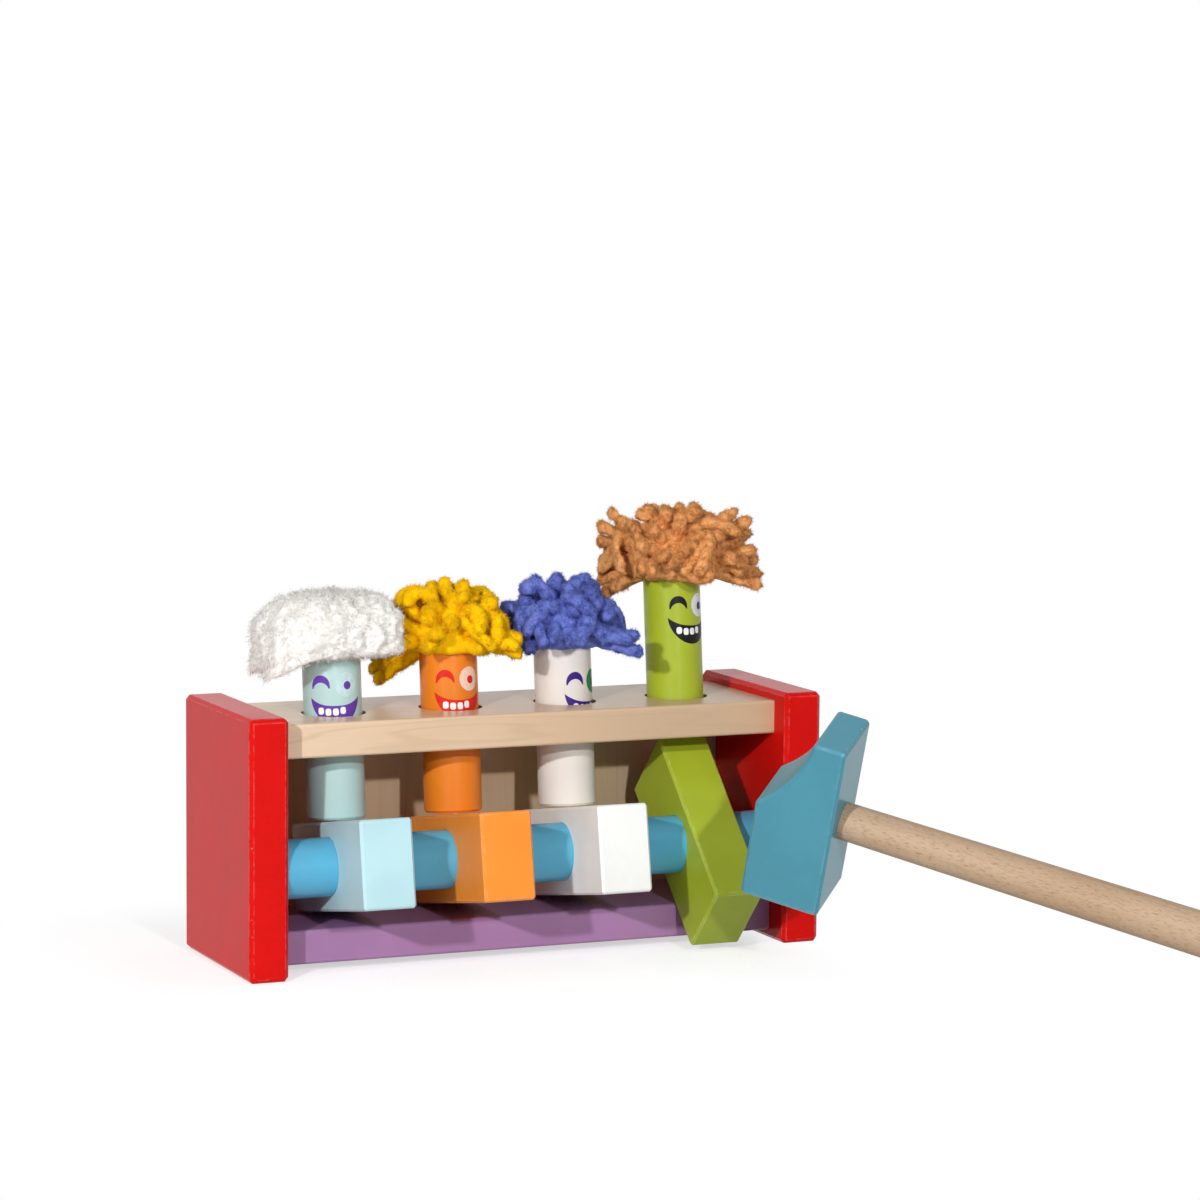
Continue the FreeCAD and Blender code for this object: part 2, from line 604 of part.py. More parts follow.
# The whole bench
pieces = [end_panel("end_panel_left", -1, "0"), end_panel("end_panel_right", 1, "2 * " + MIDDLE)]
top_board = board("top_board", TOP_FRONT, TOP_WIDTH, TOP_UNDERSIDE, "0")
drill_peg_holes(top_board)
groove_floor = "Sizes.board_thickness - Sizes.groove_depth"
base_board = board("base_board", BASE_FRONT, BASE_WIDTH, "Sizes.base_board_rise", groove_floor)
pieces += [top_board, base_board, back_board(), pivot_rod()]
for index, (colour, hair_colour) in enumerate(zip(COLOURS, HAIR_COLOURS)):
    pieces.append(lever(colour, lever_place(index, colour)))
    pieces.append(peg(colour, peg_place(index, colour)))
    pieces.append(hair(hair_colour, peg_place(index, colour), index > 0, index < len(COLOURS) - 1))
    pieces.append(hair_tie(hair_colour, peg_place(index, colour)))
pieces += [hammer_head(hammer_place()), hammer_handle(hammer_place())]
doc.recompute()

# Nothing is written unless every object is sound
for item in doc.Objects:
    if "Invalid" in item.State or "Error" in item.State:
        raise RuntimeError("%s failed: %s" % (item.Label, item.State))
for piece in pieces:
    if piece.Shape.isNull() or not piece.Shape.isValid():
        raise RuntimeError("%s has no valid shape" % piece.Label)

os.makedirs("parts", exist_ok=True)
for piece in pieces:
    piece.Shape.exportStep("parts/%s.step" % piece.Label)
    box = piece.Shape.BoundBox
    print("%-20s solids %d  volume %8.0f  z %.1f to %.1f" % (
        piece.Label, len(piece.Shape.Solids), piece.Shape.Volume, box.ZMin, box.ZMax))
print("levers rest at %.2f and are pressed to %.2f degrees" % (resting_tilt(), pressed_tilt()))
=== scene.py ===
import bisect
import math
import random

import bpy
from mathutils import Matrix, Vector, noise


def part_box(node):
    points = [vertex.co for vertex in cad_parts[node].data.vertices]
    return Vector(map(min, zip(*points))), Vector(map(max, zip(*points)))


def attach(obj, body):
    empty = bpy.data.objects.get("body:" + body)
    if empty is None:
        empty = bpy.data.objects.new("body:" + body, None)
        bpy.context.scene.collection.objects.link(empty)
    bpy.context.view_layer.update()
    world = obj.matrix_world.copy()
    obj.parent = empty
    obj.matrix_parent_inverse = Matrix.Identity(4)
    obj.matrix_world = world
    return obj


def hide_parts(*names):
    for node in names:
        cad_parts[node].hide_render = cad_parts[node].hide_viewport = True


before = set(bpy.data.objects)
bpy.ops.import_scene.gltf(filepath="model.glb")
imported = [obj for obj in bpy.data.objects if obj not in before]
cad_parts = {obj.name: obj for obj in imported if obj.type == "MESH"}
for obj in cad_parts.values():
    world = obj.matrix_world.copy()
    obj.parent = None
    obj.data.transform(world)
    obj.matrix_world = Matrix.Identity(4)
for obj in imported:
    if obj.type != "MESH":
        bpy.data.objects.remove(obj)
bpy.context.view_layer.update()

# without a seed, noise_vector differs from run to run
noise.seed_set(5)

# The bench's own places, in metres
ROW = {"light_blue": 0.03845, "orange": 0.08665, "white": 0.13485, "green": 0.18305}
ROD_BACK = -0.026
ROD_UP = 0.0405
LEVER_TILT = {"light_blue": -9.94, "orange": -9.94, "white": -9.94, "green": 43.9}
LEVER_BEHIND_ROD = 0.00145
LEVER_HALVES = (10.4, 39.05, 17.0)
PEG_RADIUS = 0.0113
LEAN = math.radians(6)
PEG_UP = Vector((0, math.sin(LEAN), math.cos(LEAN)))
PEG_FRONT = Vector((0, -math.cos(LEAN), math.sin(LEAN)))
HANDLE_START = Vector((0.19985, -0.1176, 0.06308))
HANDLE_TURN = (Matrix.Rotation(math.radians(-41.1), 4, "Z") @ Matrix.Rotation(math.radians(14.17), 4, "Y")
               @ Matrix.Rotation(math.radians(20.15), 4, "X"))
HEAD_MIDDLE = Vector((-0.0155, 0, 0.0007))
HEAD_HALVES = (15.5, 14.9, 36.3)


def srgb(red, green, blue):
    """A screen colour from 0 to 255 as the linear colour that shaders use."""
    parts = [channel / 255 for channel in (red, green, blue)]
    linear = [part / 12.92 if part <= 0.04045 else ((part + 0.055) / 1.055) ** 2.4 for part in parts]
    return (*linear, 1.0)


def shade(colour, factor, white=0.0):
    """A colour made darker or lighter, then mixed towards white."""
    return tuple(min(1.0, channel * factor * (1 - white) + white) for channel in colour[:3]) + (1,)


# Shader arithmetic
class Amount:
    """A number or colour that varies over a surface, on which arithmetic adds Math nodes."""

    def __init__(self, shader, socket):
        self.shader = shader
        self.socket = socket

    def __add__(self, other):
        return self.shader.math("ADD", self, other)

    def __sub__(self, other):
        return self.shader.math("SUBTRACT", self, other)

    def __rsub__(self, other):
        return self.shader.math("SUBTRACT", other, self)

    def __mul__(self, other):
        return self.shader.math("MULTIPLY", self, other)

    __radd__ = __add__
    __rmul__ = __mul__


class Shader:
    """Adds nodes to a shader tree."""

    def __init__(self, tree):
        self.tree = tree

    def node(self, kind, inputs, output=0, **settings):
        """Any shader node, with its settings and its inputs by name or number."""
        made = self.tree.nodes.new("ShaderNode" + kind)
        for setting, value in settings.items():
            setattr(made, setting, value)
        for socket, value in inputs.items():
            if isinstance(value, Amount):
                self.tree.links.new(value.socket, made.inputs[socket])
            else:
                made.inputs[socket].default_value = value
        return Amount(self, made.outputs[output])

    def math(self, operation, *values):
        return self.node("Math", dict(enumerate(values)), operation=operation)

    def size(self, value):
        return self.math("ABSOLUTE", value)

    def smallest(self, first, *others):
        for other in others:
            first = self.math("MINIMUM", first, other)
        return first

    def largest(self, first, *others):
        for other in others:
            first = self.math("MAXIMUM", first, other)
        return first

    def step(self, value, low, high):
        """0 below low, 1 above high, smooth between."""
        inputs = {"Value": value, "From Min": low, "From Max": high}
        return self.node("MapRange", inputs, interpolation_type="SMOOTHSTEP")

    def mix(self, factor, first, second):
        return self.node("Mix", {0: factor, 6: first, 7: second}, output=2, data_type="RGBA")

    def seen_rays(self):
        """1 for the rays that see the white surroundings: the camera's, and those of gloss and glass."""
        kinds = ("Is Camera Ray", "Is Glossy Ray", "Is Transmission Ray")
        return self.largest(*[self.node("LightPath", {}, output=kind) for kind in kinds])


class Finish(Shader):
    """One material: a node tree round a Principled surface."""

    def __init__(self, name, **constants):
        self.material = bpy.data.materials.new(name)
        self.material.use_nodes = True
        super().__init__(self.material.node_tree)
        self.tree.nodes.clear()
        self.surface = self.tree.nodes.new("ShaderNodeBsdfPrincipled")
        self.output = self.tree.nodes.new("ShaderNodeOutputMaterial")
        self.tree.links.new(self.surface.outputs[0], self.output.inputs[0])
        for socket, value in constants.items():
            self.surface.inputs[socket.replace("_", " ")].default_value = value

    def own_place(self, middle=(0, 0, 0), turn=(0, 0, 0)):
        """Millimetres along the piece's own axes, as X, Y and Z."""
        rest = self.node("TexCoord", {}, output="Object")
        inputs = {"Vector": rest, "Location": middle, "Rotation": turn, "Scale": (0.001, 0.001, 0.001)}
        own = self.node("Mapping", inputs, vector_type="TEXTURE")
        return [self.node("SeparateXYZ", {0: own}, output=axis) for axis in range(3)]

    def noise(self, place, scales, detail=3.0, roughness=0.5, shift=0.0):
        """Noise over the piece, with a number of bumps per millimetre, or one number for each axis."""
        if isinstance(scales, float):
            scales = (scales, scales, scales)
        parts = {axis: value * scale + shift for axis, (value, scale) in enumerate(zip(place, scales))}
        spot = self.node("CombineXYZ", parts)
        inputs = {"Vector": spot, "Scale": 1.0, "Detail": detail, "Roughness": roughness}
        return self.node("TexNoise", inputs)

    def feed(self, **links):
        for socket, value in links.items():
            self.tree.links.new(value.socket, self.surface.inputs[socket.replace("_", " ")])

    def relief(self, height, strength, depth):
        """Bumps of the given depth in metres."""
        self.feed(Normal=self.node("Bump", {"Height": height, "Strength": strength, "Distance": depth}))


def by_grain(grain, along, across):
    """Three noise scales: one along the grain and the other across it."""
    return [along if axis == grain else across for axis in "XYZ"]


def edge_gap(finish, place, halves):
    """Distance in millimetres from the nearest edge of a block, over its surface."""
    x, y, z = [half - finish.size(value) for value, half in zip(place, halves)]
    return finish.smallest(finish.largest(x, y), finish.largest(y, z), finish.largest(x, z))


RAW_WOOD = (0.80, 0.60, 0.38, 1)
FLECK_BROWN = (0.27, 0.14, 0.06, 1)


def painted(name, colour, place, grain, edges=None, highlight_inset=1.5, edge_highlight=0.16, seed=0.0, rough=0.26, gloss=0.26):
    """Satin paint on sanded wood, smooth, with a thin painted highlight and small chips along the edges.

    The block's half sizes are the edges, and the painted highlight lies a given inset in millimetres from
    them.
    """
    finish = Finish(name, Specular_IOR_Level=gloss)
    spot = place(finish)
    fibres = finish.noise(spot, by_grain(grain, 0.10, 2.4), roughness=0.6, shift=seed)
    cloud = finish.noise(spot, 0.045, shift=seed + 3)
    grit = finish.noise(spot, 1.7, roughness=0.6, shift=seed + 5)
    tone = finish.mix(finish.step(cloud, 0.34, 0.66), shade(colour, 0.95), shade(colour, 1.02))
    tone = finish.mix(finish.step(fibres, 0.52, 0.80) * 0.22, tone, shade(colour, 0.80))
    tone = finish.mix(finish.step(grit, 0.56, 0.74) * 0.16, tone, shade(colour, 1.0, 0.12))
    if edges:
        gap = edge_gap(finish, spot, edges)
        # painted highlight: a thin pale line near every edge, where a rounded edge catches the lamps, broken
        # into dashes
        highlight_breaks = finish.noise(spot, 0.30, detail=4.0, roughness=0.6, shift=seed + 11)
        line = finish.step(gap, highlight_inset - 0.35, highlight_inset - 0.05) * finish.step(gap, highlight_inset + 0.40, highlight_inset + 0.05)
        tone = finish.mix(line * (finish.step(highlight_breaks, 0.40, 0.62) * edge_highlight), tone, shade(colour, 1.05, 0.40))
        chips = finish.noise(spot, 0.8, detail=4.0, roughness=0.65, shift=seed + 17)
        worn = finish.step(chips, 0.67, 0.71) * finish.step(gap, 1.5, 0.7)
        tone = finish.mix(worn * 0.7, tone, RAW_WOOD)
    finish.feed(Base_Color=tone, Roughness=rough + cloud * 0.10)
    finish.relief(fibres * 0.5 + grit * 0.5, 0.16, 0.00010)
    return finish.material


def bare_wood(name, light, dark, place, grain, darker=0.0, lines=0.30, fleck=0.0, seed=0.0, rough=0.25,
              gloss=0.55):
    """Sanded maple or beech: faint growth lines, fine fibres, and for beech short brown flecks.

    With darker, the board gets darker towards its right end.
    """
    finish = Finish(name, Specular_IOR_Level=gloss)
    spot = place(finish)
    drift = finish.noise(spot, by_grain(grain, 0.0045, 0.055), detail=2.0, roughness=0.45, shift=seed)
    cloud = finish.noise(spot, (0.016, 0.03, 0.03), detail=2.0, shift=seed + 2)
    fibres = finish.noise(spot, by_grain(grain, 0.035, 1.9), detail=4.0, roughness=0.6, shift=seed + 4)
    ring = finish.math("FRACT", drift * 9.0)
    line = finish.step(finish.size(ring - 0.5), 0.16, 0.02)
    band = finish.step(ring, 0.0, 0.9)
    tone = finish.mix(finish.step(cloud, 0.32, 0.68) * 0.5, light, dark)
    if darker:
        tone = finish.mix(finish.step(spot[0], -105.0, 115.0) * darker, tone, shade(dark, 0.80))
    tone = finish.mix(band * (lines * 0.4), tone, dark)
    tone = finish.mix(line * lines, tone, shade(dark, 0.74))
    tone = finish.mix(finish.step(fibres, 0.48, 0.78) * 0.28, tone, shade(dark, 0.84))
    if fleck:
        marks = finish.noise(spot, by_grain(grain, 0.42, 3.0), detail=1.0, roughness=0.4, shift=seed + 9)
        tone = finish.mix(finish.step(marks, 0.58, 0.66) * fleck, tone, FLECK_BROWN)
    finish.feed(Base_Color=tone, Roughness=rough + fibres * 0.12)
    finish.relief(fibres * 0.8 - line * 0.2, 0.18, 0.00012)
    return finish.material


def yarn_finish(name, deep_tone_and_shade, bright_tone_and_highlight, halo, seed):
    """Loose fluffy yarn, its own tone darkened by painted shade between the fibres and lightened by painted
    highlight, with a halo where it is seen edge on.
    """
    finish = Finish(name, Roughness=0.95, Sheen_Weight=1.0, Sheen_Roughness=0.6, Sheen_Tint=halo,
                    Specular_IOR_Level=0.05)
    spot = finish.own_place()
    clumps = finish.noise(spot, 0.34, shift=seed)
    fibres = finish.noise(spot, 1.5, detail=5.0, roughness=0.75, shift=seed + 5)
    # painted shade and painted highlight: the deep and bright tones are laid by noise over clumps and fibres
    finish.feed(Base_Color=finish.mix(finish.step(clumps * 0.5 + fibres * 0.5, 0.34, 0.60), deep_tone_and_shade, bright_tone_and_highlight))
    finish.relief(fibres + clumps * 0.3, 0.20, 0.0003)
    return finish.material


def print_ink(name, colour):
    """Ink printed on the paint, slightly uneven."""
    finish = Finish(name, Specular_IOR_Level=0.15)
    patch = finish.noise(finish.own_place(), 0.9)
    tone = finish.mix(finish.step(patch, 0.35, 0.65), shade(colour, 0.88), colour)
    finish.feed(Base_Color=tone, Roughness=0.34 + patch * 0.1)
    return finish.material


def give(node, material):
    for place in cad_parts[node].material_slots:
        place.material = material


def make_piece(name, points, faces, material, body, flat_places=None):
    """A mesh piece that rides on a body and takes its finish from a material slot."""
    mesh = bpy.data.meshes.new(name)
    mesh.from_pydata(points, [], faces)
    if flat_places:
        mesh.uv_layers.new(name="OFBake").data.foreach_set("uv", flat_places)
    mesh.validate()
    mesh.shade_smooth()
    mesh.materials.append(material)
    piece = bpy.data.objects.new(name, mesh)
    bpy.context.scene.collection.objects.link(piece)
    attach(piece, body)
    return piece


# Woodwork
def own_axes(middle, turn=(0, 0, 0)):
    """For a finish: places measured from a piece's middle, along its turned axes."""
    return lambda finish: finish.own_place(tuple(middle), turn)


def block_place(node):
    """Places measured from the middle of an upright block, and its half sizes in millimetres."""
    low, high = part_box(node)
    return own_axes((low + high) / 2), [size * 500 for size in (high - low)]


def finish_bench():
    # the right panel's red is a little darker than the left one's: painted shade, for the shade at the
    # bench's right end
    panels = (("end_panel_left", srgb(220, 19, 15), 1.0), ("end_panel_right", srgb(214, 16, 12), 4.0))
    for node, red, seed in panels:
        place, halves = block_place(node)
        give(node, painted(node + "_paint", red, place, "Z", halves, seed=seed, rough=0.20, gloss=0.07))
    place, halves = block_place("base_board")
    # only its long edges are seen, so its ends are taken as far away
    give("base_board", painted("base_board_paint", srgb(166, 122, 167), place, "X", (200, *halves[1:]),
                               edge_highlight=0.05, seed=9.0))
    place, _ = block_place("top_board")
    give("top_board", bare_wood("top_board_maple", srgb(232, 205, 175), srgb(220, 186, 150), place, "X",
                                darker=1.0, seed=3.0))
    place, _ = block_place("back_board")
    give("back_board", bare_wood("back_board_maple", srgb(222, 196, 164), srgb(208, 176, 138), place, "Z",
                                 lines=0.12, seed=12.0))
    place, _ = block_place("pivot_rod")
    give("pivot_rod", painted("rod_paint", srgb(88, 172, 206), place, "X", seed=6.0))


LEVER_PAINT = {
    "light_blue": srgb(190, 228, 235),
    "orange": srgb(252, 150, 54),
    "white": srgb(248, 248, 244),
    "green": srgb(168, 184, 46),
}
PEG_PAINT = {
    "light_blue": srgb(182, 213, 212),
    "orange": srgb(230, 128, 30),
    "white": srgb(232, 225, 218),
    "green": srgb(168, 184, 46),
}


def finish_levers_and_pegs():
    for number, colour in enumerate(ROW):
        tilt = math.radians(LEVER_TILT[colour])
        shift = Matrix.Rotation(tilt, 3, "X") @ Vector((0, LEVER_BEHIND_ROD, 0))
        middle = Vector((ROW[colour], ROD_BACK, ROD_UP)) + shift
        give("lever_" + colour, painted("lever_%s_paint" % colour, LEVER_PAINT[colour],
                                        own_axes(middle, (tilt, 0, 0)), "Y", LEVER_HALVES, highlight_inset=0.9,
                                        edge_highlight=0.30, seed=20.0 + 3 * number, gloss=0.18))
        give("peg_" + colour, painted("peg_%s_paint" % colour, PEG_PAINT[colour],
                                      own_axes(peg_top(colour), (-LEAN, 0, 0)), "Z",
                                      seed=40.0 + 3 * number, rough=0.28))


def peg_top(colour):
    """Middle of a peg's upper end, from the highest and rearmost points of its rim."""
    low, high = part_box("peg_" + colour)
    return Vector(((low.x + high.x) / 2, high.y - PEG_RADIUS * math.cos(LEAN),
                   high.z - PEG_RADIUS * math.sin(LEAN)))


# Printed faces: one eye winks, the other is a round disc, and the grin shows a row of teeth.
# Shapes are in millimetres, across to the right and up from the peg's rim, as columns of
# (across, low, high).
def on_peg(top, across, up, lift):
    """A point on a peg, lifted off it by a hair's breadth."""
    angle = across / 1000 / PEG_RADIUS
    outward = Vector((1, 0, 0)) * math.sin(angle) + PEG_FRONT * math.cos(angle)
    return top + PEG_UP * (up / 1000) + outward * (PEG_RADIUS + lift)


def filled(columns, rows=5):
    """Points and quads that fill a shape."""
    points = []
    faces = []
    for index, (across, low, high) in enumerate(columns):
        for row in range(rows + 1):
            points.append((across, low + (high - low) * row / rows))
        if index:
            for row in range(rows):
                start = (index - 1) * (rows + 1) + row
                after = start + rows + 1
                faces.append((start, after, after + 1, start + 1))
    return points, faces


def sweep(steps):
    """Parts from -1 to 1, closer together near both ends."""
    return [-math.cos(math.pi * step / steps) for step in range(steps + 1)]


def disc_columns(across, up, wide, high, steps=28, square=2.0):
    columns = []
    for part in sweep(steps):
        reach = high * (1 - abs(part) ** square) ** (1 / square)
        columns.append((across + wide * part, up - reach, up + reach))
    return columns


def grin_columns(middle, up):
    columns = []
    for part in sweep(40):
        top = up - 18.3 + 3.3 * abs(part) ** 2.6
        bottom = up - 15.2 - 10.4 * (1 - part * part) ** 0.6
        columns.append((middle + 10.3 * part, min(bottom, top - 0.01), top))
    return columns


def wink_columns(middle, up):
    columns = []
    for part in sweep(28):
        outer = up - 10.9 + 4.4 * max(0.0, 1 - part * part) ** 0.46
        inner = up - 11.6 + 2.3 * max(0.0, 1 - (part / 0.84) ** 2) ** 0.7
        columns.append((middle + 3.7 * part, min(inner, outer - 0.35), outer))
    return columns


# The face's middle and its rise, then the colours of its lines, its eye's disc and its pupil
FACES = {
    "light_blue": (-2.5, 0.0, srgb(104, 62, 168), srgb(200, 228, 230), srgb(104, 62, 168)),
    "orange": (0.2, 0.0, srgb(222, 40, 26), srgb(250, 214, 196), srgb(222, 40, 26)),
    "white": (6.3, -3.1, srgb(62, 32, 128), srgb(34, 140, 76), srgb(40, 30, 60)),
    "green": (3.6, -0.7, srgb(16, 16, 18), srgb(232, 236, 240), srgb(16, 16, 18)),
}
TOOTH_WHITE = srgb(250, 250, 250)
INK_LIFT = 0.00003
UPPER_INK_LIFT = 0.00006


def print_face(colour):
    middle, up, ink, disc, pupil = FACES[colour]
    marks = [
        ("grin", grin_columns(middle, up), ink, INK_LIFT),
        ("wink", wink_columns(middle - 5.9, up), ink, INK_LIFT),
        ("eye", disc_columns(middle + 4.3, up - 10.3, 4.5, 4.7), disc, INK_LIFT),
        ("pupil", disc_columns(middle + 4.7, up - 10.6, 1.5, 1.6), pupil, UPPER_INK_LIFT),
    ]
    for number, across in enumerate((-5.9, -3.05, -0.2, 2.65)):
        level = up - 20.7 + 0.03 * (across + 1.6) ** 2
        tooth = disc_columns(middle + across, level, 1.12, 1.35, 16, 3.2)
        marks.append(("tooth_%d" % number, tooth, TOOTH_WHITE, UPPER_INK_LIFT))
    top = peg_top(colour)
    for part, columns, tone, lift in marks:
        flat, faces = filled(columns)
        points = [on_peg(top, across, height, lift) for across, height in flat]
        name = "face_%s_%s" % (colour, part)
        ink_finish = print_ink(name + "_ink", tone)
        make_piece(name, points, faces, ink_finish, "peg_" + colour)


# Yarn mops, in millimetres from the middle of the peg's upper end
PEG_OF = {"white": "light_blue", "yellow": "orange", "blue": "white", "brown": "green"}
STRAND_RADIUS = 2.75
GOLDEN_ANGLE = 2.39996

# Two mops meet on a wavy surface that runs along the pegs' slides: how far it lies from a peg's middle,
# how far it swings, its turn for each millimetre, and for each mop its phase on the left and the right
TUFT_ROOM = 24.0
WAVE_SWING = 2.6
WAVE_TURN = 0.33
MEETINGS = {"white": (None, 1.9), "yellow": (1.9, 1.7), "blue": (1.7, 4.0), "brown": (4.0, None)}


def shaken(chance, amount):
    return Vector([chance.gauss(0, 1) for _ in range(3)]) * amount


def curve(bends, part):
    """A point of the curve through four bends."""
    root, first_bend, second_bend, tip = bends
    rest = 1 - part
    return (root * rest ** 3 + first_bend * (3 * part * rest ** 2)
            + second_bend * (3 * part ** 2 * rest) + tip * part ** 3)


class Mop:
    """Points and faces of one mop, gathered strand by strand.

    Its form is a rounded box: size says how far it goes left, right, forward, back and up from the peg's
    end, and with a larger squareness its corners are fuller. The flat map has one cell for each strand.
    """

    def __init__(self, seed, size, squareness, meetings, cells, sag=0.0):
        self.chance = random.Random(seed)
        self.size = size
        self.squareness = squareness
        self.waves = [(side, wave) for side, wave in zip((-1, 1), meetings) if wave is not None]
        self.cells = cells
        self.cell = -1
        self.sag = sag
        self.points = []
        self.faces = []
        self.flat_places = []

    def add(self, point):
        """Keeps a point, after it has sagged at the left and been pressed back from the neighbours."""
        across, back, up = point
        if self.sag:
            top_share = min(1.0, max(0.0, (up - 3) / 17))
            up -= self.sag * min(0.0, across + 7) ** 2 * (1 - 0.62 * top_share)
        for side, wave in self.waves:
            reach = side * across
            if reach < TUFT_ROOM / 2:
                continue
            slice_place = back * math.cos(LEAN) - up * math.sin(LEAN)
            room = TUFT_ROOM + side * WAVE_SWING * math.sin(WAVE_TURN * slice_place + wave)
            free = room * 0.72
            if reach > free:
                across = side * (free + (room - free) * (1 - math.exp((free - reach) / (room - free))))
        self.points.append((across, back, up))

    def face(self, corners, places):
        """A face, and where its corners lie in this strand's cell of the flat map."""
        self.faces.append(corners)
        row, column = divmod(self.cell, self.cells)
        for along, up in places:
            self.flat_places.append((column + 0.04 + 0.92 * along) / self.cells)
            self.flat_places.append((row + 0.04 + 0.92 * up) / self.cells)

    def tube(self, rings, sides):
        """Faces round a tube whose points were just added, ring by ring, and over its last ring."""
        first = len(self.points) - (rings + 1) * sides
        for ring in range(rings):
            low = first + ring * sides
            under, over = ring / rings, (ring + 1) / rings
            for step in range(sides):
                after = (step + 1) % sides
                left, right = step / sides, (step + 1) / sides
                self.face((low + step, low + after, low + sides + after, low + sides + step),
                          ((left, under), (right, under), (right, over), (left, over)))
        last = first + rings * sides
        self.face(tuple(range(last, last + sides)), [(step / sides, 1.0) for step in range(sides)])

    def depth(self, spot, lower=0.2):
        """How far out a point lies: 0 in the middle of the mop and 1 on its form."""
        left, right, front, back, height = self.size
        halves = (left if spot.x < 0 else right, front if spot.y < 0 else back,
                  height * lower if spot.z < 0 else height)
        parts = [abs(part / half) ** self.squareness for part, half in zip(spot, halves)]
        return sum(parts) ** (1 / self.squareness)

    def outer(self, direction, lower=1.0):
        """The point of the mop's form in a direction; its lower half is as high as the given share."""
        return direction / self.depth(direction, lower)

    def strand(self, bends, thickness, fibres, rings=16, sides=10):
        """A twisted length of loose yarn along a curve, blunt at its cut end, with loose fibres."""
        chance = self.chance
        self.cell += 1
        tip = bends[3]
        # where along the curve each ring lies, and how wide it is: the last ones round off the cut end
        blunt = 1 - min(0.3, thickness / (3 * (tip - bends[2]).length))
        parts = [(step / rings * blunt, 1.0) for step in range(rings + 1)]
        for angle in map(math.radians, (18, 36, 54, 72, 87)):
            parts.append((blunt + (1 - blunt) * math.sin(angle), math.cos(angle)))
        path = [curve(bends, part) for part, _ in parts]
        phase = chance.uniform(0, 6.28)
        twist = chance.choice((-1, 1)) * chance.uniform(0.60, 0.80)
        lump = chance.uniform(0.5, 0.9)
        out = Vector((tip.x, tip.y, 0))
        side = out.cross(Vector((0.2, 0.1, 1))).normalized() if out.length > 0.5 else Vector((1, 0, 0))
        covered = 0.0
        surface = []
        lengths = [0.0]
        for ring, here in enumerate(path):
            ahead = (path[min(ring + 1, len(path) - 1)] - path[max(ring - 1, 0)]).normalized()
            side = (side - ahead * side.dot(ahead)).normalized()
            other = ahead.cross(side)
            part, width = parts[ring]
            if ring:
                covered += (here - path[ring - 1]).length
            swell = thickness * (0.55 + 0.45 * min(1.0, part * 1.8))
            swell *= 1 + 0.08 * math.sin(lump * covered + phase)
            for step in range(sides):
                angle = 2 * math.pi * step / sides
                outward = side * math.cos(angle) + other * math.sin(angle)
                ply = 1 + 0.15 * math.cos(2 * angle + twist * covered + phase)
                spot = here + outward * (swell * width * ply)
                facing = outward * width + ahead * (1 - width)
                wool = 0.55 * noise.noise(spot * 0.35) + 0.40 * noise.noise(spot * 1.1)
                spot = spot + facing * wool
                self.add(spot)
                surface.append((spot, facing, ahead))
            if ring:
                lengths.append(lengths[-1] + (surface[-sides][0] - surface[-2 * sides][0]).length)
        self.tube(len(path) - 1, sides)
        self.add_fibres(fibres, surface, lengths, sides)

    def add_fibres(self, count, surface, lengths, sides):
        """Loose fibres on a strand, only on the mop's outer parts, which are the ones seen."""
        chance = self.chance
        rings = len(lengths) - 1
        left = count
        for _ in range(count * 6):
            ring = min(bisect.bisect(lengths, lengths[-1] * chance.uniform(0.25, 1.0)), rings) - 1
            step = chance.randrange(sides)
            spot, facing, ahead = surface[ring * sides + step]
            if left and self.depth(spot) > 0.74 and facing.dot(spot) > -0.25 * spot.length:
                left -= 1
                spot = spot.lerp(surface[(ring + 1) * sides + (step + 1) % sides][0], chance.random())
                self.fibre(spot, facing + ahead * 0.4, (step / sides, ring / rings), 2.2, 1.15)

    def fibre(self, root, outward, place, longest, width=1.0):
        """One loose fibre, a thin spike that leans with its neighbours."""
        chance = self.chance
        drift = noise.noise_vector(root * 0.5)
        heading = (outward * 0.55 + drift * 1.1 + shaken(chance, 0.38)).normalized()
        across = heading.orthogonal().normalized() * chance.uniform(0.07, 0.13) * width
        other = heading.cross(across)
        start = root - heading * 0.3
        first = len(self.points)
        self.add(start + across)
        self.add(start + other * 0.87 - across * 0.5)
        self.add(start - other * 0.87 - across * 0.5)
        self.add(start + heading * chance.uniform(0.8, longest))
        along, up = place
        shape = ((along, up), (along + 0.004, up), (along, up + 0.004))
        self.face((first, first + 1, first + 3), shape)
        self.face((first + 1, first + 2, first + 3), shape)
        self.face((first + 2, first, first + 3), shape)

    def heart(self, share, raised, lower, lumpy, around, bands):
        """A closed lumpy form that fills the mop up to a share of its size."""
        self.cell += 1
        spots = []
        for band in range(bands + 1):
            lift = math.radians(-88 + 176 * band / bands)
            for step in range(around):
                turn = 2 * math.pi * step / around
                direction = Vector((math.cos(turn) * math.cos(lift), math.sin(turn) * math.cos(lift),
                                    math.sin(lift)))
                place = self.outer(direction, lower) * share
                lumps = (2.4 * noise.noise(place * 0.16) + 1.7 * noise.noise(place * 0.36)
                         + 0.9 * noise.noise(place * 0.85))
                spot = place + direction * (lumps * lumpy) + Vector((0, 0, raised))
                spots.append((spot, direction, (step / around, band / bands)))
                self.add(spot)
        self.tube(bands, around)
        return spots

    def put_on_peg(self, colour, finish):
        """Puts the mop on its peg, where it stands for the CAD hair."""
        top = peg_top(PEG_OF[colour])
        points = [top + Vector(point) / 1000 for point in self.points]
        piece = make_piece("yarn_" + colour, points, self.faces, finish, "peg_" + PEG_OF[colour],
                           self.flat_places)
        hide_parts("hair_" + colour)
        give("hair_tie_" + colour, finish)


